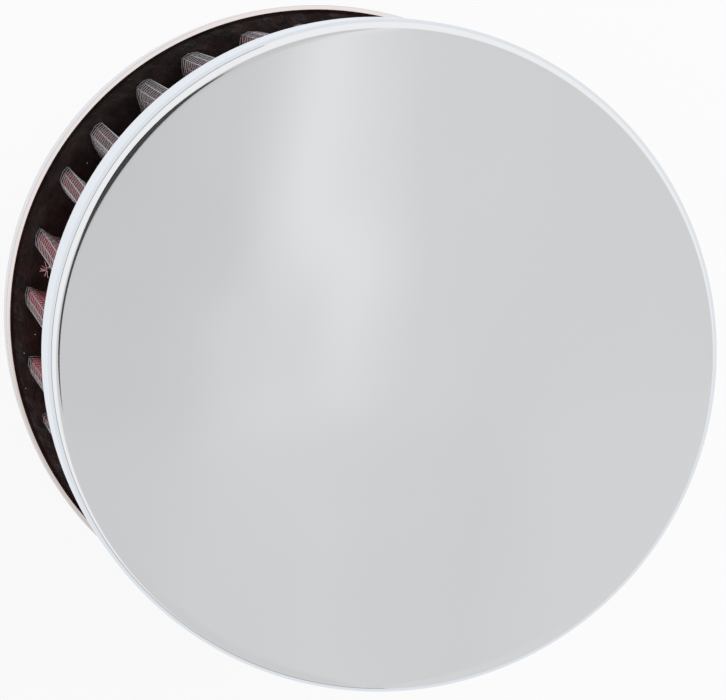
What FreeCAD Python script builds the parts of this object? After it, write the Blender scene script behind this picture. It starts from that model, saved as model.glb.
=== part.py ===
"""Crankcase breather filter: a pleated gauze element between a stamped cap and a pan with a push-in neck."""

import cmath
import math
import os

import FreeCAD
import Part

# Sizes are in millimetres. The axis is Z, and the underside of the pan lies at Z = 0.
body_height = 50.8
sheet = 0.4

# Stamped cap: its side wall widens slightly towards the rim.
cap_rim_radius = 25.4
cap_draft = 0.2
cap_depth = 7.0
cap_edge_radius = 0.9

# Stamped pan under the element.
pan_rim_radius = 26.8
pan_depth = 6.4
pan_edge_radius = 1.4

# Push-in neck: a low land centres it in the pan's hole, and its flange lies on the floor of the pan.
neck_radius = 9.525
neck_wall = 1.0
neck_length = 20.0
neck_end_chamfer = 0.4
neck_mouth_radius = 0.6
neck_land = 0.6
neck_clearance = 0.05
flange_radius = 12.4

# Folded element: gauze between two layers of wire cloth, folded together. It fits the cap and the pan.
pleat_count = 30
pleat_depth = 8.0
wire_cloth = 0.22
gauze = 0.36
fold_inside_radius = 0.1
crest_to_cap = 0.15
crest_to_pan = 1.0
crest_facets = 3
root_facets = 2

# Cast resin that holds both ends of the element.
base_resin_below_rim = 0.5
base_resin_to_flange = 0.6
base_pleat_seat = 2.5
cap_resin_thickness = 3.5
cap_pleat_seat = 2.0

# Values that several pieces share.
cap_shoulder_radius = cap_rim_radius - cap_draft
cap_rim_z = body_height - cap_depth
cap_inside_z = body_height - sheet
cap_resin_z = cap_inside_z - cap_resin_thickness
pan_inside_radius = pan_rim_radius - sheet
base_resin_z = pan_depth - base_resin_below_rim
pleat_bottom_z = base_resin_z - base_pleat_seat
pleat_top_z = cap_resin_z + cap_pleat_seat
element_radius = min(cap_shoulder_radius - sheet - crest_to_cap, pan_inside_radius - crest_to_pan)
stack = wire_cloth + gauze + wire_cloth
fold_radius = fold_inside_radius + stack / 2


def turned(profile):
    """Revolve a closed profile of (radius, height, corner rounding) points round the axis."""
    corners = [FreeCAD.Vector(radius, 0, height) for radius, height, rounding in profile]
    edges = []
    for index, corner in enumerate(corners):
        rounding = profile[index][2]
        after = corners[(index + 1) % len(corners)]
        back = (corners[index - 1] - corner).normalize()
        ahead = (after - corner).normalize()
        half_angle = back.getAngle(ahead) / 2
        reach = rounding / math.tan(half_angle)
        leave = corner + ahead * reach
        if rounding > 0:
            inward = (back + ahead).normalize()
            middle = corner + inward * (rounding / math.sin(half_angle) - rounding)
            edges.append(Part.Arc(corner + back * reach, middle, leave).toShape())
        after_rounding = profile[(index + 1) % len(corners)][2]
        after_next = corners[(index + 2) % len(corners)]
        after_half_angle = (corner - after).getAngle(after_next - after) / 2
        arrive = after - ahead * (after_rounding / math.tan(after_half_angle))
        edges.append(Part.LineSegment(leave, arrive).toShape())
    face = Part.Face(Part.Wire(edges))
    return face.revolve(FreeCAD.Vector(0, 0, 0), FreeCAD.Vector(0, 0, 1), 360)


def fold_arc(centre, radius, middle_angle, half_sweep, facets):
    """Points along one fold, as complex numbers, from one flank to the next."""
    angles = [middle_angle + half_sweep * (2 * step / facets - 1) for step in range(facets + 1)]
    return [centre + cmath.rect(radius, angle) for angle in angles]


def pleat_outline(offset):
    """Closed outline of the folded sheet, at a distance outward from the middle of its thickness."""
    half_pitch = math.pi / pleat_count
    crest = complex(element_radius - stack / 2 - fold_radius)
    root = cmath.rect(element_radius - pleat_depth + stack / 2 + fold_radius, half_pitch)
    flank_lean = math.asin(2 * fold_radius / abs(root - crest))
    flank_normal = cmath.phase(root - crest) - math.pi / 2 + flank_lean
    inward = half_pitch - math.pi
    root_sweep = flank_normal - math.pi - inward
    pleat = fold_arc(crest, fold_radius + offset, 0, flank_normal, crest_facets)
    pleat += fold_arc(root, fold_radius - offset, inward, -root_sweep, root_facets)
    points = []
    for index in range(pleat_count):
        turn = cmath.rect(1, 2 * half_pitch * index)
        points += [FreeCAD.Vector((turn * point).real, (turn * point).imag, 0) for point in pleat]
    return Part.makePolygon(points + points[:1])


def pleated_layer(inner_offset, outer_offset):
    """One layer of the folded sheet, as tall as the element."""
    outer = Part.Face(pleat_outline(outer_offset))
    inner = Part.Face(pleat_outline(inner_offset))
    layer = outer.cut(inner).Faces[0]
    layer.translate(FreeCAD.Vector(0, 0, pleat_bottom_z))
    return layer.extrude(FreeCAD.Vector(0, 0, pleat_top_z - pleat_bottom_z))


def top_cap():
    """Cup-shaped cap with a rounded edge."""
    return turned([
        (0, body_height, 0),
        (cap_shoulder_radius, body_height, cap_edge_radius),
        (cap_rim_radius, cap_rim_z, 0),
        (cap_rim_radius - sheet, cap_rim_z, 0),
        (cap_shoulder_radius - sheet, cap_inside_z, cap_edge_radius - sheet),
        (0, cap_inside_z, 0),
    ])


def top_sealant(element):
    """Resin cast into the cap round the upper ends of the pleats."""
    share = cap_resin_thickness / (cap_inside_z - cap_rim_z)
    level_radius = cap_shoulder_radius - sheet + cap_draft * share
    resin = turned([
        (0, cap_inside_z, 0),
        (cap_shoulder_radius - sheet, cap_inside_z, cap_edge_radius - sheet),
        (level_radius, cap_resin_z, 0),
        (0, cap_resin_z, 0),
    ])
    return resin.cut(element)


def base_pan():
    """Shallow pan with a hole for the neck."""
    hole_radius = neck_radius + neck_land + neck_clearance
    return turned([
        (hole_radius, 0, 0),
        (pan_rim_radius, 0, pan_edge_radius),
        (pan_rim_radius, pan_depth, 0),
        (pan_inside_radius, pan_depth, 0),
        (pan_inside_radius, sheet, pan_edge_radius - sheet),
        (hole_radius, sheet, 0),
    ])


def base_sealant(element):
    """Ring of resin cast into the pan round the lower ends of the pleats."""
    bore_radius = flange_radius + base_resin_to_flange
    resin = turned([
        (bore_radius, sheet, 0),
        (pan_inside_radius, sheet, pan_edge_radius - sheet),
        (pan_inside_radius, base_resin_z, 0),
        (bore_radius, base_resin_z, 0),
    ])
    return resin.cut(element)


def neck_tube():
    """Tube that pushes into a grommet, with a flange seated on the floor of the pan."""
    bore_radius = neck_radius - neck_wall
    return turned([
        (bore_radius, -neck_length, 0),
        (neck_radius - neck_end_chamfer, -neck_length, 0),
        (neck_radius, neck_end_chamfer - neck_length, 0),
        (neck_radius, 0, 0),
        (neck_radius + neck_land, 0, 0),
        (neck_radius + neck_land, sheet, 0),
        (flange_radius, sheet, 0),
        (flange_radius, sheet + neck_wall, 0),
        (bore_radius, sheet + neck_wall, neck_mouth_radius),
    ])


whole_element = pleated_layer(-stack / 2, stack / 2)
nodes = {
    "top_cap": top_cap(),
    "top_sealant": top_sealant(whole_element),
    "outer_wire_screen": pleated_layer(stack / 2 - wire_cloth, stack / 2),
    "gauze_element": pleated_layer(wire_cloth - stack / 2, stack / 2 - wire_cloth),
    "inner_wire_screen": pleated_layer(-stack / 2, wire_cloth - stack / 2),
    "base_sealant": base_sealant(whole_element),
    "base_pan": base_pan(),
    "neck_tube": neck_tube(),
}

os.makedirs("parts", exist_ok=True)
for name, shape in nodes.items():
    shape.exportStep(f"parts/{name}.step")
    print(name, "solids", len(shape.Solids), "volume", round(shape.Volume, 1), "valid", shape.isValid())
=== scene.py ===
# %% [markdown]
# # A crankcase breather filter
# A breather filter lets an engine's crankcase vent through a ring of pleated, oiled gauze. The solids
# arrive as a frame of plain nodes. This lesson dresses them: polished stampings, cast resin, red gauze
# and woven wire. The frame goes first, and the boxes of its nodes are kept for the sizes.

# %% Load the frame
import math
import random
from cmath import phase, rect

import bmesh
import bpy
from mathutils import Matrix, Vector


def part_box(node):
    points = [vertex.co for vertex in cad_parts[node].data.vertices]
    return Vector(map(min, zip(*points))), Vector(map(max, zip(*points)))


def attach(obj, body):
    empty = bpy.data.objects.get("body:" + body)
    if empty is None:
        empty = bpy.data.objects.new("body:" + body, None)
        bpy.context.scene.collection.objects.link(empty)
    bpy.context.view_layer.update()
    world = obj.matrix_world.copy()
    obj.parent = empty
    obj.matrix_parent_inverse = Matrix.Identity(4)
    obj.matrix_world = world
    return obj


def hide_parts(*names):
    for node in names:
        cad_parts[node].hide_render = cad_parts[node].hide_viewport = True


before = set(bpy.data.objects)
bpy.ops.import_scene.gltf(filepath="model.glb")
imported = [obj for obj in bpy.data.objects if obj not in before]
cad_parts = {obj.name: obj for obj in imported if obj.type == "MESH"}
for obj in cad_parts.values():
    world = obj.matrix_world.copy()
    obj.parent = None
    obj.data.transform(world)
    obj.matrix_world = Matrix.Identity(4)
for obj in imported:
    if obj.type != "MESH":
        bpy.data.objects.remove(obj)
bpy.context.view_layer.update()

print("nodes:", sorted(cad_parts))

# %% [markdown]
# Every size comes from the nodes' own boxes where it can, so the dressed piece sits where its solid sits.
# The rest are the few sizes that a box can't tell: sheet thickness, edge radii and the fold of the pleats.

# %% Sizes, in metres
MM = 0.001
SHEET = 0.4 * MM
CAP_EDGE = 0.9 * MM
PAN_EDGE = 1.4 * MM
CAP_DRAFT = 0.2 * MM

cap_low, cap_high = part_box("top_cap")
pan_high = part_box("base_pan")[1]
neck_low, neck_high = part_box("neck_tube")
resin_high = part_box("base_sealant")[1]
gauze_low, gauze_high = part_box("gauze_element")
cap_radius = cap_high[0]
pan_radius = pan_high[0]
print("cap radius", round(cap_radius / MM, 2), "pan radius", round(pan_radius / MM, 2), "mm")

# %% [markdown]
# A piece that was stamped or turned is a profile spun round the axis. The profile keeps sharp corners,
# and the rings that should be round are bevelled after the spin. A spare ring beside each bevel keeps
# the smooth shading of the flat parts flat, which a mirror finish would betray at once.

# %% Helpers for turned pieces
TURN_STEPS = 224
TINY = 0.002 * MM


def turned(profile, closed=True):
    bm = bmesh.new()
    points = [bm.verts.new((radius, 0, height)) for radius, height in profile]
    following = points[1:] + points[:1] if closed else points[1:]
    edges = [bm.edges.new(pair) for pair in zip(points, following)]
    bmesh.ops.spin(bm, geom=points + edges, axis=(0, 0, 1), cent=(0, 0, 0),
                   angle=2 * math.pi, steps=TURN_STEPS, use_merge=True)
    bmesh.ops.remove_doubles(bm, verts=bm.verts, dist=TINY)
    bmesh.ops.recalc_face_normals(bm, faces=bm.faces)
    return bm


def round_ring(bm, radius, height, offset, segments):
    def on_ring(vert):
        return abs(math.hypot(vert.co.x, vert.co.y) - radius) < TINY and abs(vert.co.z - height) < TINY
    ring = [edge for edge in bm.edges if all(on_ring(vert) for vert in edge.verts)]
    bmesh.ops.bevel(bm, geom=ring, offset=offset, offset_type="OFFSET", segments=segments,
                    profile=0.5, affect="EDGES", material=-1)


def between(start, end, share):
    return tuple(a + (b - a) * share for a, b in zip(start, end))


# %% [markdown]
# Each finished mesh becomes one object at the origin. It rides on the only body, stands for its node,
# and takes the finish it is handed.

# %% Helper that finishes a piece
def dress(mesh, name, material, node=None):
    piece = bpy.data.objects.new(name, mesh)
    bpy.context.collection.objects.link(piece)
    mesh.materials.append(material)
    mesh.polygons.foreach_set("use_smooth", [True] * len(mesh.polygons))
    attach(piece, "root")
    if node:
        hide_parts(node)
    print(name, "faces", len(mesh.polygons))
    return piece


def mesh_of(bm, name):
    mesh = bpy.data.meshes.new(name)
    bm.to_mesh(mesh)
    bm.free()
    return mesh


# %% [markdown]
# ## Finishes
# Plated sheet is a mirror that is never quite flat: a very shallow, broad waviness bends what it
# reflects. A bump is enough for that, because the waves are too shallow to change the outline. It reads
# Object coordinates, so it stays on the metal from every side.

# %% Chrome finish
def shader_of(material):
    return material.node_tree.nodes["Principled BSDF"]


def plain_material(name, colour, metallic, roughness):
    material = bpy.data.materials.new(name)
    material.use_nodes = True
    shader = shader_of(material)
    shader.inputs["Base Color"].default_value = (*colour, 1)
    shader.inputs["Metallic"].default_value = metallic
    shader.inputs["Roughness"].default_value = roughness
    return material


def noise(material, scale, detail):
    tree = material.node_tree
    coordinates = tree.nodes.new("ShaderNodeTexCoord")
    texture = tree.nodes.new("ShaderNodeTexNoise")
    texture.inputs["Scale"].default_value = scale
    texture.inputs["Detail"].default_value = detail
    tree.links.new(coordinates.outputs["Object"], texture.inputs["Vector"])
    return texture.outputs["Fac"]


def add_bump(material, height, distance):
    tree = material.node_tree
    bump = tree.nodes.new("ShaderNodeBump")
    bump.inputs["Distance"].default_value = distance
    tree.links.new(height, bump.inputs["Height"])
    tree.links.new(bump.outputs["Normal"], shader_of(material).inputs["Normal"])


def add_ramp(material, factor, stops):
    tree = material.node_tree
    ramp = tree.nodes.new("ShaderNodeValToRGB")
    for element, (position, colour) in zip(ramp.color_ramp.elements, stops):
        element.position = position
        element.color = (*colour, 1)
    tree.links.new(factor, ramp.inputs["Fac"])
    tree.links.new(ramp.outputs["Color"], shader_of(material).inputs["Base Color"])


chrome = plain_material("polished_chrome", (0.84, 0.845, 0.86), metallic=1.0, roughness=0.07)
add_bump(chrome, noise(chrome, scale=55, detail=1), distance=0.15 * MM)
print("finish:", chrome.name)

# %% [markdown]
# The other finishes: satin plating on the neck, plating on the pan with a painted warm tint that stands
# in for reflected warm surroundings, bare wire, dark resin with a warm tint, and gauze whose dye and oil
# vary from thread to thread. How red a spot is, with painted shade darkening the crests and one side of
# the ring darker, is a number kept on the mesh, so that it can follow the folds, and a fine noise
# multiplies it for the threads.

# %% Other finishes
plated = plain_material("satin_plating", (0.66, 0.66, 0.66), metallic=1.0, roughness=0.28)
# The pan's plating carries a painted warm tint: it stands in for the reflection of warm surroundings along
# the rim.
pan_plate = plain_material("plating_with_painted_warm_tint", (0.82, 0.755, 0.73), metallic=1.0, roughness=0.15)
wire = plain_material("bare_wire", (0.4, 0.4, 0.41), metallic=1.0, roughness=0.35)

resin = plain_material("cast_resin", (0.03, 0.02, 0.018), metallic=0.0, roughness=0.3)
add_ramp(resin, noise(resin, scale=900, detail=4),
         [(0.35, (0.011, 0.009, 0.009)), (0.75, (0.035, 0.021, 0.019))])
add_bump(resin, noise(resin, scale=700, detail=3), distance=0.2 * MM)

gauze = plain_material("red_gauze", (0.45, 0.03, 0.04), metallic=0.0, roughness=0.8)
# The red level kept on the mesh: painted shade at the crests, and darker on one side of the ring.
red_and_shade_level = gauze.node_tree.nodes.new("ShaderNodeAttribute")
red_and_shade_level.attribute_name = "redness_and_crest_shade"
threads_and_shade = gauze.node_tree.nodes.new("ShaderNodeMath")
threads_and_shade.operation = "MULTIPLY"
gauze.node_tree.links.new(red_and_shade_level.outputs["Fac"], threads_and_shade.inputs[0])
gauze.node_tree.links.new(noise(gauze, scale=2600, detail=3), threads_and_shade.inputs[1])
add_ramp(gauze, threads_and_shade.outputs["Value"],
         [(0.05, (0.045, 0.02, 0.024)), (0.6, (0.92, 0.06, 0.08))])
add_bump(gauze, noise(gauze, scale=4200, detail=2), distance=0.15 * MM)

cotton = plain_material("loose_cotton", (1.0, 0.74, 0.74), metallic=0.0, roughness=0.9)
dust = plain_material("dust", (0.7, 0.68, 0.66), metallic=0.0, roughness=0.9)
print("finishes:", [material.name for material in (plated, pan_plate, wire, resin, gauze, cotton, dust)])

# %% [markdown]
# ## The cap
# The cap is a stamped cup with a rounded edge and a side wall that widens a little towards the rim. It
# could start as a cylinder with bevelled edges. A spun profile was chosen because it gives the wall its
# slope and its thickness in one go.

# %% Cap
cap_top = cap_high[2]
cap_rim = cap_low[2]
cap_shoulder = cap_radius - CAP_DRAFT
GUARD = 0.25 * MM
RIM_ROUND = 0.12 * MM
corner = (cap_shoulder, cap_top)
rim_corner = (cap_radius, cap_rim)
inner_corner = (cap_shoulder - SHEET, cap_top - SHEET)
inner_rim = (cap_radius - SHEET, cap_rim)
wall_guard = (CAP_EDGE + GUARD) / (cap_top - cap_rim)
cap_mesh = turned([
    (0, cap_top),
    (cap_shoulder - CAP_EDGE - GUARD, cap_top),
    corner,
    between(corner, rim_corner, wall_guard),
    between(corner, rim_corner, 1 - GUARD / (cap_top - cap_rim)),
    rim_corner,
    inner_rim,
    inner_corner,
    (0, cap_top - SHEET),
], closed=False)
round_ring(cap_mesh, *corner, CAP_EDGE, 12)
round_ring(cap_mesh, *inner_corner, CAP_EDGE - SHEET, 6)
round_ring(cap_mesh, *rim_corner, RIM_ROUND, 3)
round_ring(cap_mesh, *inner_rim, RIM_ROUND, 3)
dress(mesh_of(cap_mesh, "cap"), "polished_cap", chrome, "top_cap")

# %% [markdown]
# ## The pan
# The pan is a second stamping, open upwards, with a hole for the neck. The cut edge of its rim slopes
# down to the outside and catches the light as a thin band. It is spun like the cap, with spare rings
# close to both lips, so that the band stays flat between its rounded edges.

# %% Pan
pan_rim = pan_high[2]
neck_radius = 9.525 * MM
NECK_LAND = 0.6 * MM
NECK_CLEARANCE = 0.05 * MM
RIM_GUARD = 0.07 * MM
RIM_SLOPE = 0.16 * MM
hole = neck_radius + NECK_LAND + NECK_CLEARANCE
outer_lip = (pan_radius, pan_rim - RIM_SLOPE)
inner_lip = (pan_radius - SHEET, pan_rim)
pan_mesh = turned([
    (hole, 0),
    (pan_radius - PAN_EDGE - GUARD, 0),
    (pan_radius, 0),
    (pan_radius, PAN_EDGE + GUARD),
    (pan_radius, pan_rim - RIM_SLOPE - GUARD),
    outer_lip,
    between(outer_lip, inner_lip, (RIM_ROUND + RIM_GUARD) / SHEET),
    between(inner_lip, outer_lip, RIM_GUARD / SHEET),
    inner_lip,
    (pan_radius - SHEET, pan_rim - RIM_GUARD),
    (pan_radius - SHEET, SHEET),
    (hole, SHEET),
])
round_ring(pan_mesh, pan_radius, 0, PAN_EDGE, 10)
round_ring(pan_mesh, pan_radius - SHEET, SHEET, PAN_EDGE - SHEET, 6)
round_ring(pan_mesh, *outer_lip, RIM_ROUND, 3)
round_ring(pan_mesh, *inner_lip, RIM_ROUND / 3, 3)
dress(mesh_of(pan_mesh, "pan"), "polished_pan", pan_plate, "base_pan")

# %% [markdown]
# ## The neck
# The neck is a tube that pushes into a grommet. Its flange lies on the floor of the pan, and a low land
# centres it in the hole. A tube and a ring could be joined, but one profile makes both without a seam.

# %% Neck
neck_bottom = neck_low[2]
flange_radius = neck_high[0]
flange_top = neck_high[2]
NECK_WALL = 1.0 * MM
END_ROUND = 0.3 * MM
MOUTH_ROUND = 0.6 * MM
bore = neck_radius - NECK_WALL
neck_mesh = turned([
    (bore, neck_bottom),
    (neck_radius, neck_bottom),
    (neck_radius, neck_bottom + 2 * END_ROUND),
    (neck_radius, 0),
    (neck_radius + NECK_LAND, 0),
    (neck_radius + NECK_LAND, SHEET),
    (flange_radius, SHEET),
    (flange_radius, flange_top),
    (bore, flange_top),
])
round_ring(neck_mesh, bore, neck_bottom, END_ROUND, 3)
round_ring(neck_mesh, neck_radius, neck_bottom, END_ROUND, 3)
round_ring(neck_mesh, flange_radius, flange_top, END_ROUND, 3)
round_ring(neck_mesh, bore, flange_top, MOUTH_ROUND, 5)
dress(mesh_of(neck_mesh, "neck"), "push_in_neck", plated, "neck_tube")

# %% [markdown]
# ## The resin
# Resin is poured into the pan and the cap to hold the ends of the pleats. It creeps up the wall of the
# pan a little before it sets. A flat ring would meet the wall in a hard line, so the profile has extra
# points for the creep. The resin in the cap is seen only from below, and its own solid serves.

# %% Resin in the pan
resin_level = resin_high[2]
RESIN_TO_FLANGE = 0.6 * MM
resin_bore = flange_radius + RESIN_TO_FLANGE
pan_inside = pan_radius - SHEET
CREEP = 0.12 * MM
resin_mesh = turned([
    (resin_bore, SHEET),
    (pan_inside, SHEET),
    (pan_inside, resin_level + CREEP),
    (pan_inside - CREEP, resin_level + CREEP / 4),
    (pan_inside - 3 * CREEP, resin_level),
    (resin_bore, resin_level),
])
dress(mesh_of(resin_mesh, "resin"), "pan_resin", resin, "base_sealant")
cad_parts["top_sealant"].data.materials.clear()
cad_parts["top_sealant"].data.materials.append(resin)

# %% [markdown]
# ## The pleats
# Gauze and wire cloth are folded together, so one function describes the fold for all of them. It walks
# from the middle of a crest, a little squarer than round, down the flank and round the root. A distance is
# measured along the surface asked for, and a lift moves the point off that surface.

# %% The fold
PLEATS = 30
PITCH = 2 * math.pi / PLEATS
CLOTH = 0.22 * MM
GAUZE = 0.36 * MM
STACK = GAUZE + 2 * CLOTH
FOLD_INSIDE = 0.1 * MM
FOLD = FOLD_INSIDE + STACK / 2
CREST_SQUARE = 0.22
crest_radius = gauze_high[0] + CLOTH
PLEAT_DEPTH = 8.0 * MM
crest_centre = complex(crest_radius - STACK / 2 - FOLD)
root_centre = rect(crest_radius - PLEAT_DEPTH + STACK / 2 + FOLD, PITCH / 2)
reach = root_centre - crest_centre
flank_normal = phase(reach) - math.pi / 2 + math.asin(2 * FOLD / abs(reach))
flank_run = math.sqrt(abs(reach) ** 2 - (2 * FOLD) ** 2)
root_sweep = flank_normal - PITCH / 2
print("crest radius", round(crest_radius / MM, 2), "mm, flank", round(flank_run / MM, 2), "mm")


def half_fold(surface):
    return (FOLD + surface) * flank_normal + flank_run + (FOLD - surface) * root_sweep


def fold_point(distance, surface, lift=0.0):
    walked = abs(distance)
    crest_run = (FOLD + surface) * flank_normal
    level = surface + lift
    if walked < crest_run:
        angle = walked / (FOLD + surface)
        squared = 1 + CREST_SQUARE * math.sin(2 * angle) ** 2
        point = crest_centre + rect((FOLD + level) * squared, angle)
    elif walked < crest_run + flank_run:
        point = crest_centre + rect(FOLD + level, flank_normal)
        point += rect(walked - crest_run, flank_normal + math.pi / 2)
    else:
        turn = (walked - crest_run - flank_run) / (FOLD - surface)
        point = root_centre + rect(FOLD - level, flank_normal - math.pi - turn)
    return point if distance >= 0 else point.conjugate()


# %% [markdown]
# Hand-set pleats lean together in pairs, and here and there some stray. Turning each point by small waves
# of its own angle does that without breaking the ring. The pan is wider than the cap, so the pleats also
# spread towards their lower ends, and their tips bend over there, most of all on one side of the filter.

# %% Hand-set pleats
PAIR_SHIFT = math.radians(0.55)
STRAY = math.radians(1.25)
STRAY_FROM = math.radians(163)
SPREAD = 0.03
SPREAD_CURVE = 1.5
BEND = 1.0 * MM
BEND_BACK = 0.4
BEND_DEPTH = 2.6 * MM
BEND_SIDE = math.radians(160)


def tip_share(point):
    return max(0, 1 - (crest_radius - abs(point)) / BEND_DEPTH)


def settled(point, height):
    angle = phase(point)
    lean = PAIR_SHIFT * math.cos(angle * PLEATS / 2) + STRAY * max(0, math.sin(2 * (angle - STRAY_FROM)))
    lowness = min(1, max(0, (cap_rim - height) / (cap_rim - resin_level)))
    side = (math.cos(angle - BEND_SIDE) + math.cos(2 * (angle - BEND_SIDE))) / 2
    bend = BEND * side * ((1 + BEND_BACK) * lowness - BEND_BACK) * tip_share(point) ** 2
    place = point * rect(1 + SPREAD * lowness ** SPREAD_CURVE, lean) - rect(bend, angle + math.pi / 2)
    return place.real, place.imag, height


# %% [markdown]
# ## The gauze
# One pleat is a line of points from root to root, extruded upwards in a few lifts and copied round by a
# spin that duplicates. Each corner keeps a number for how red it is, which the finish reads: painted shade
# darkens the crests, where the gap behind the wire would be dark, and the red is also darker on one side
# of the ring. Solidify then gives the folded sheet its thickness.

# %% Gauze
FOLD_SAMPLES = 32
# The red is darker on one side of the ring, round this angle; at the crests it fades to painted shade.
DARK_SIDE = math.radians(128)
DARK_LOBE = 1.5
SIDE_DARKENING = 0.75
CREST_SHADE = 0.85
LIFTS = 8
gauze_bottom = gauze_low[2]
gauze_top = gauze_high[2]
heights = [gauze_bottom + (gauze_top - gauze_bottom) * lift / LIFTS for lift in range(LIFTS + 1)]
half = half_fold(0)
gauze_mesh = bmesh.new()
walk = [fold_point(half * (2 * step / FOLD_SAMPLES - 1), 0) for step in range(FOLD_SAMPLES + 1)]
line = [gauze_mesh.verts.new((point.real, point.imag, gauze_bottom)) for point in walk]
edges = [gauze_mesh.edges.new(pair) for pair in zip(line, line[1:])]
for lift in range(LIFTS):
    raised = bmesh.ops.extrude_edge_only(gauze_mesh, edges=edges)["geom"]
    edges = [item for item in raised if isinstance(item, bmesh.types.BMEdge)]
    bmesh.ops.translate(gauze_mesh, vec=(0, 0, heights[1] - heights[0]),
                        verts=[item for item in raised if isinstance(item, bmesh.types.BMVert)])
bmesh.ops.spin(gauze_mesh, geom=gauze_mesh.verts[:] + gauze_mesh.edges[:] + gauze_mesh.faces[:],
               axis=(0, 0, 1), cent=(0, 0, 0), angle=2 * math.pi - PITCH, steps=PLEATS - 1,
               use_duplicate=True)
bmesh.ops.remove_doubles(gauze_mesh, verts=gauze_mesh.verts, dist=TINY)
bmesh.ops.recalc_face_normals(gauze_mesh, faces=gauze_mesh.faces)
redness_and_crest_shade = gauze_mesh.verts.layers.float.new("redness_and_crest_shade")
for vert in gauze_mesh.verts:
    point = complex(vert.co.x, vert.co.y)
    away = math.remainder(phase(point) - DARK_SIDE, math.tau)
    side_red = 1 - SIDE_DARKENING * max(0, math.cos(DARK_LOBE * away)) ** 2
    # Painted shade: towards the crests the red fades to dark, standing in for the dark gap behind the
    # wire.
    vert[redness_and_crest_shade] = side_red * (1 - CREST_SHADE * tip_share(point) ** 3)
    vert.co = settled(point, vert.co.z)
gauze_piece = dress(mesh_of(gauze_mesh, "gauze"), "folded_gauze", gauze, "gauze_element")
thickness = gauze_piece.modifiers.new("thickness", "SOLIDIFY")
thickness.thickness = GAUZE
thickness.offset = 0

# %% [markdown]
# ## The wire cloth
# The cloth is woven: upright wires stand along the pleats, and cross wires run round every fold, over
# one upright and under the next. A patterned sheet would look flat at the folds, so each wire is a curve
# with a bevel, turned into a mesh. The bevel is the coarsest one, because there are very many wires.

# %% Helper for wires
WIRE_RADIUS = 0.05 * MM
CROSS_RADIUS = 0.042 * MM
UPRIGHT_PITCH = 0.62 * MM
CROSS_PITCH = 2.05 * MM
WEAVE = 0.4 * WIRE_RADIUS


def wire_mesh(name, runs, radius, cyclic):
    curve = bpy.data.curves.new(name, "CURVE")
    curve.dimensions = "3D"
    curve.bevel_depth = radius
    curve.bevel_resolution = 0
    for run in runs:
        spline = curve.splines.new("POLY")
        spline.points.add(len(run) - 1)
        for point, place in zip(spline.points, run):
            point.co = (*place, 1)
        spline.use_cyclic_u = cyclic
    holder = bpy.data.objects.new(name, curve)
    mesh = bpy.data.meshes.new_from_object(holder)
    bpy.data.objects.remove(holder)
    return mesh


def uprights(surface):
    count = round(half_fold(surface) / UPRIGHT_PITCH) * 2
    step = 2 * half_fold(surface) / count
    return [step * index - half_fold(surface) for index in range(count)]


def ring_points(distances, surface, lifts):
    points = []
    for pleat in range(PLEATS):
        turn = rect(1, pleat * PITCH)
        points += [turn * fold_point(distance, surface, lift) for distance, lift in zip(distances, lifts)]
    return points


# %% [markdown]
# The outer cloth shows, so its cross wires weave a little. The inner cloth is glimpsed only through the
# neck, and plain rings and uprights are enough there.

# %% Wire cloth
def upright_wires(surface):
    distances = uprights(surface)
    places = ring_points(distances, surface, [0] * len(distances))
    return [[settled(place, height) for height in heights] for place in places]


def cross_wires(surface, weave):
    distances = uprights(surface)
    runs = []
    for row in range(int((gauze_top - gauze_bottom) / CROSS_PITCH)):
        height = gauze_bottom + CROSS_PITCH * (row + 0.5)
        lifts = [weave * (-1) ** (index + row) for index in range(len(distances))]
        runs.append([settled(point, height) for point in ring_points(distances, surface, lifts)])
    return runs


outer_surface = STACK / 2 - CLOTH / 2
dress(wire_mesh("outer_uprights", upright_wires(outer_surface), WIRE_RADIUS, False),
      "outer_upright_wires", wire, "outer_wire_screen")
dress(wire_mesh("outer_cross", cross_wires(outer_surface, WEAVE), CROSS_RADIUS, True),
      "outer_cross_wires", wire, "outer_wire_screen")
dress(wire_mesh("inner_uprights", upright_wires(-outer_surface), WIRE_RADIUS, False),
      "inner_upright_wires", wire, "inner_wire_screen")
dress(wire_mesh("inner_cross", cross_wires(-outer_surface, 0), CROSS_RADIUS, True),
      "inner_cross_wires", wire, "inner_wire_screen")

# %% [markdown]
# ## Loose cotton and dust
# A wisp of cotton has caught between two pleats near the pan, and a few pale specks lie on the resin.
# Hair particles could make the wisp, but a handful of thin wires is enough, and a seeded walk gives each
# its own curl. Cotton and dust lie at angles of the picture, so the camera's turn is added to them.

# %% Cotton wisp
CAMERA_TURN = math.radians(3.1)
WISP_RADIUS = 23.6 * MM
WISP_ANGLE = math.radians(169.7)
WISP_ABOVE_RESIN = 1.5 * MM
FIBRES = 11
FIBRE_STEPS = 5
FIBRE_START = 0.12 * MM
FIBRE_STEP = 0.16 * MM
FIBRE_CURL = 0.3
FIBRE_RADIUS = 0.03 * MM
rng = random.Random(7)
wisp_spot = rect(WISP_RADIUS, WISP_ANGLE + CAMERA_TURN)
wisp_centre = Vector((wisp_spot.real, wisp_spot.imag, resin_level + WISP_ABOVE_RESIN))
fibres = []
for fibre in range(FIBRES):
    heading = Vector((rng.gauss(0, 1), rng.gauss(0, 1), rng.gauss(0, 0.4))).normalized()
    place = wisp_centre + FIBRE_START * heading
    run = []
    for step in range(FIBRE_STEPS):
        run.append(tuple(place))
        heading = (heading + FIBRE_CURL * Vector(rng.gauss(0, 1) for axis in range(3))).normalized()
        place = place + FIBRE_STEP * heading
    fibres.append(run)
dress(wire_mesh("wisp", fibres, FIBRE_RADIUS, False), "cotton_wisp", cotton)

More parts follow.
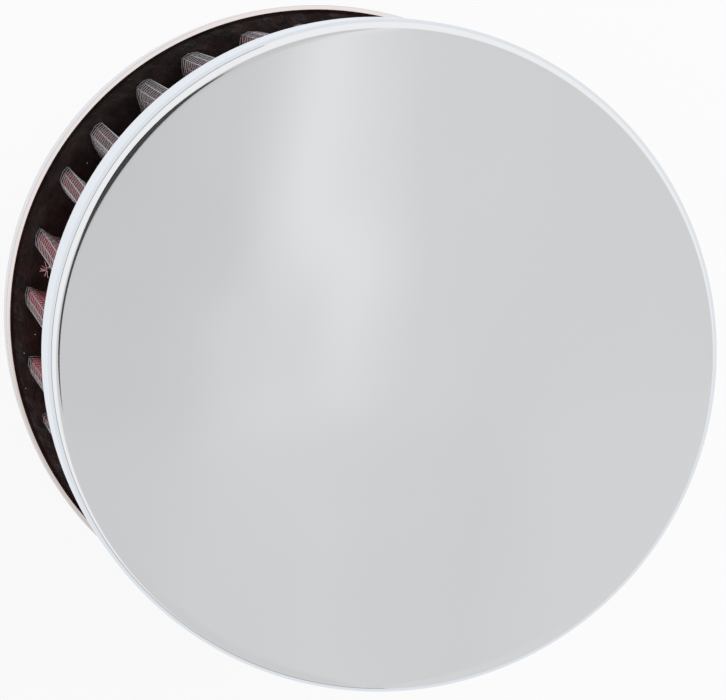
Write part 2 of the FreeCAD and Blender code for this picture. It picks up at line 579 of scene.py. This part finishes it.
# %% Dust specks, by radius in millimetres and angle in degrees
SPECK_RADIUS = 0.055 * MM
SPECKS = [(25.4, 186.9), (25.8, 193.6), (23.8, 146.3), (24.3, 183.4), (24.4, 61), (25.0, 300)]
specks = bmesh.new()
for radius, angle in SPECKS:
    place = rect(radius * MM, math.radians(angle) + CAMERA_TURN)
    bmesh.ops.create_icosphere(specks, subdivisions=1, radius=SPECK_RADIUS,
                               matrix=Matrix.Translation((place.real, place.imag, resin_level)))
dress(mesh_of(specks, "specks"), "dust_specks", dust)

# %% [markdown]
# ## Floor, light and surroundings
# Polished metal shows whatever stands around it, so the room is part of the finish: pale all round, a
# little darker overhead towards one side, with a soft bright band. A room could be modelled, but a few
# ramps over the direction of a ray give the same soft steps. The stops of a ramp say how far the ray
# points that way and which grey it meets. Camera rays see plain white.

# %% World
world = bpy.data.worlds.new("pale_room")
bpy.context.scene.world = world
world.use_nodes = True
room = world.node_tree


def room_node(kind, **settings):
    node = room.nodes.new(kind)
    for socket, value in settings.items():
        node.inputs[socket].default_value = value
    return node


direction = room_node("ShaderNodeTexCoord").outputs["Generated"]


def room_ramp(toward, stops):
    along = room_node("ShaderNodeVectorMath")
    along.operation = "DOT_PRODUCT"
    along.inputs[1].default_value = toward
    ramp = room_node("ShaderNodeValToRGB")
    for position, grey in stops[1:-1]:
        ramp.color_ramp.elements.new(position)
    for stop, (position, grey) in zip(ramp.color_ramp.elements, stops):
        stop.position = position
        stop.color = (grey, grey, grey, 1)
    room.links.new(direction, along.inputs[0])
    room.links.new(along.outputs["Value"], ramp.inputs["Fac"])
    return ramp.outputs["Color"]


SHADE_CENTRE = Vector((0.3, -0.52, 0.8))
shade_edge = room_ramp(SHADE_CENTRE, [(0.42, 0.0), (0.58, 1.0)])
upper = room_ramp((1, 0, 0), [(0.072, 0.66), (0.099, 0.7), (0.122, 0.95), (0.137, 0.81), (0.151, 0.74),
                              (0.195, 0.735)])
lower = room_ramp((1, 0, 0), [(0.072, 0.7), (0.121, 0.75), (0.159, 0.715), (0.195, 0.76)])
lowness = room_ramp((0, -1, 0), [(0.051, 0.0), (0.111, 1.0)])
shade = room_node("ShaderNodeMixRGB")
shaded = room_node("ShaderNodeMixRGB", Color1=(1, 1, 1, 1))
white = room_node("ShaderNodeMixRGB", Color2=(1, 1, 1, 1))
seen = room_node("ShaderNodeLightPath")
room.links.new(lowness, shade.inputs["Fac"])
room.links.new(upper, shade.inputs["Color1"])
room.links.new(lower, shade.inputs["Color2"])
room.links.new(shade_edge, shaded.inputs["Fac"])
room.links.new(shade.outputs["Color"], shaded.inputs["Color2"])
room.links.new(shaded.outputs["Color"], white.inputs["Color1"])
room.links.new(seen.outputs["Is Camera Ray"], white.inputs["Fac"])
room.links.new(white.outputs["Color"], room.nodes["Background"].inputs["Color"])
print("world:", world.name)

# %% [markdown]
# The floor is a broad pale sheet under the neck. Seen by the camera it is nearly plain white, with a
# little of its own shading left so that the shadow stays. Polished metal sees it with a faint blue. From
# below it is clear.

# %% Floor
FLOOR_SIZE = 3.0
FLOOR_GAP = 0.5 * MM
FLOOR_GLOW = 0.85
floor_shape = bmesh.new()
bmesh.ops.create_grid(floor_shape, x_segments=1, y_segments=1, size=FLOOR_SIZE)
bmesh.ops.translate(floor_shape, vec=(0, 0, neck_bottom - FLOOR_GAP), verts=floor_shape.verts)
floor_paint = plain_material("pale_floor", (0.9, 0.9, 0.9), metallic=0.0, roughness=0.9)
nodes = floor_paint.node_tree.nodes
links = floor_paint.node_tree.links
glow = nodes.new("ShaderNodeEmission")
tint = nodes.new("ShaderNodeMixRGB")
tint.inputs["Color1"].default_value = (1, 1, 1, 1)
tint.inputs["Color2"].default_value = (0.86, 0.9, 0.96, 1)
mixed = nodes.new("ShaderNodeMixShader")
looking = nodes.new("ShaderNodeLightPath")
share = nodes.new("ShaderNodeMath")
share.operation = "MULTIPLY"
share.inputs[1].default_value = FLOOR_GLOW
either = nodes.new("ShaderNodeMath")
either.operation = "MAXIMUM"
links.new(looking.outputs["Is Glossy Ray"], tint.inputs["Fac"])
links.new(tint.outputs["Color"], glow.inputs["Color"])
links.new(looking.outputs["Is Camera Ray"], either.inputs[0])
links.new(looking.outputs["Is Glossy Ray"], either.inputs[1])
links.new(either.outputs["Value"], share.inputs[0])
links.new(share.outputs["Value"], mixed.inputs["Fac"])
links.new(shader_of(floor_paint).outputs["BSDF"], mixed.inputs[1])
links.new(glow.outputs["Emission"], mixed.inputs[2])
facing = nodes.new("ShaderNodeNewGeometry")
clear = nodes.new("ShaderNodeBsdfTransparent")
one_sided = nodes.new("ShaderNodeMixShader")
links.new(facing.outputs["Backfacing"], one_sided.inputs["Fac"])
links.new(mixed.outputs["Shader"], one_sided.inputs[1])
links.new(clear.outputs["BSDF"], one_sided.inputs[2])
links.new(one_sided.outputs["Shader"], nodes["Material Output"].inputs["Surface"])
floor = bpy.data.objects.new("floor", mesh_of(floor_shape, "floor"))
floor.data.materials.append(floor_paint)
bpy.context.collection.objects.link(floor)
print("floor at", round((neck_bottom - FLOOR_GAP) / MM, 2), "mm")

# %% [markdown]
# ## Camera
# The camera looks almost straight down on the cap, from far off with a long lens. It starts level, as a
# plan view, and tilts about a line across the picture, so that the pan shows on one side. The cap's
# centre sits at a known place in front of the lens, in cap radii. A camera aimed by eye would be quicker,
# but these few numbers put the outlines of cap and pan where they belong.

# %% Camera
IMAGE_WIDTH = 726
FOCAL_PIXELS = 3712
TILT = math.radians(8.69)
LEAN = math.radians(31.15)
cap_in_view = Vector((0.0718, -0.0243, -10.88)) * cap_radius
eye = bpy.data.cameras.new("eye")
eye.sensor_width = 36
eye.lens = FOCAL_PIXELS / IMAGE_WIDTH * eye.sensor_width
eye.clip_start = 0.01
camera = bpy.data.objects.new("eye", eye)
tilt = Matrix.Rotation(TILT, 4, Vector((-math.sin(LEAN), -math.cos(LEAN), 0)))
camera.matrix_world = (Matrix.Rotation(CAMERA_TURN, 4, "Z") @ Matrix.Translation((0, 0, cap_top))
                       @ tilt @ Matrix.Translation(-cap_in_view))
bpy.context.collection.objects.link(camera)
bpy.context.scene.camera = camera
bpy.context.scene.view_settings.view_transform = "Standard"
print("camera at", [round(value, 4) for value in camera.matrix_world.translation])

# %% [markdown]
# A mirror also shows the dark camera and the dark end of the room. Two oval cards behind the lens draw the
# dark lines along the cap's rounded edge, and a long low one the line opposite. All three are there for
# reflections only.

# %% Dark cards
def card_material(name, grey):
    material = plain_material(name, (0, 0, 0), metallic=0.0, roughness=1.0)
    shader = shader_of(material)
    shader.inputs["Specular IOR Level"].default_value = 0
    shader.inputs["Emission Color"].default_value = (grey, grey, grey, 1)
    shader.inputs["Emission Strength"].default_value = 1
    return material


def reflection_card(name, shape, place, grey):
    bmesh.ops.transform(shape, matrix=place, verts=shape.verts)
    card = bpy.data.objects.new(name, mesh_of(shape, name))
    card.data.materials.append(card_material(name, grey))
    card.visible_camera = False
    card.visible_diffuse = False
    card.visible_shadow = False
    bpy.context.collection.objects.link(card)
    print("card:", name)


def lens_card(name, half_long, half_short, place, turn, grey):
    shape = bmesh.new()
    bmesh.ops.create_circle(shape, cap_ends=True, radius=1, segments=48)
    bmesh.ops.scale(shape, vec=(half_long, half_short, 1), verts=shape.verts)
    behind_lens = Matrix.Translation(place) @ Matrix.Rotation(math.radians(turn), 4, "Z")
    reflection_card(name, shape, camera.matrix_world @ behind_lens, grey)


lens_card("lens_card", half_long=74 * MM, half_short=45 * MM,
          place=(-32 * MM, 6 * MM, 20 * MM), turn=64, grey=0.07)
lens_card("shoulder_card", half_long=85 * MM, half_short=50 * MM,
          place=(-35 * MM, 39 * MM, 22 * MM), turn=143, grey=0.025)

# %% Card at the side
SIDE_RADIUS = 300 * MM
SIDE_BELOW = 10 * MM
SIDE_ABOVE = 34 * MM
SIDE_START = math.radians(110)
SIDE_SWEEP = math.radians(170)
SIDE_GREY = 0.45
side_card = bmesh.new()
foot = side_card.verts.new((SIDE_RADIUS, 0, cap_top - SIDE_BELOW))
head = side_card.verts.new((SIDE_RADIUS, 0, cap_top + SIDE_ABOVE))
bmesh.ops.spin(side_card, geom=[foot, head, side_card.edges.new((foot, head))], axis=(0, 0, 1),
               cent=(0, 0, 0), angle=SIDE_SWEEP, steps=24)
reflection_card("side_card", side_card, Matrix.Rotation(SIDE_START, 4, "Z"), SIDE_GREY)

# %% [markdown]
# One broad lamp adds a soft direction to the light, well off to the side so that the flat of the cap
# does not mirror it. A sun would do too, but its shadows would be harder.

# %% Lamp
lamp_light = bpy.data.lights.new("soft_lamp", "AREA")
lamp_light.size = 0.3
lamp_light.energy = 0.6
lamp = bpy.data.objects.new("soft_lamp", lamp_light)
lamp_place = Vector((0.25, 0.25, 0.4))
towards_filter = lamp_place.to_track_quat("Z", "Y").to_matrix().to_4x4()
lamp.matrix_world = Matrix.Translation(lamp_place) @ towards_filter
lamp.visible_glossy = False
bpy.context.collection.objects.link(lamp)
print("lamp at", tuple(lamp_place))
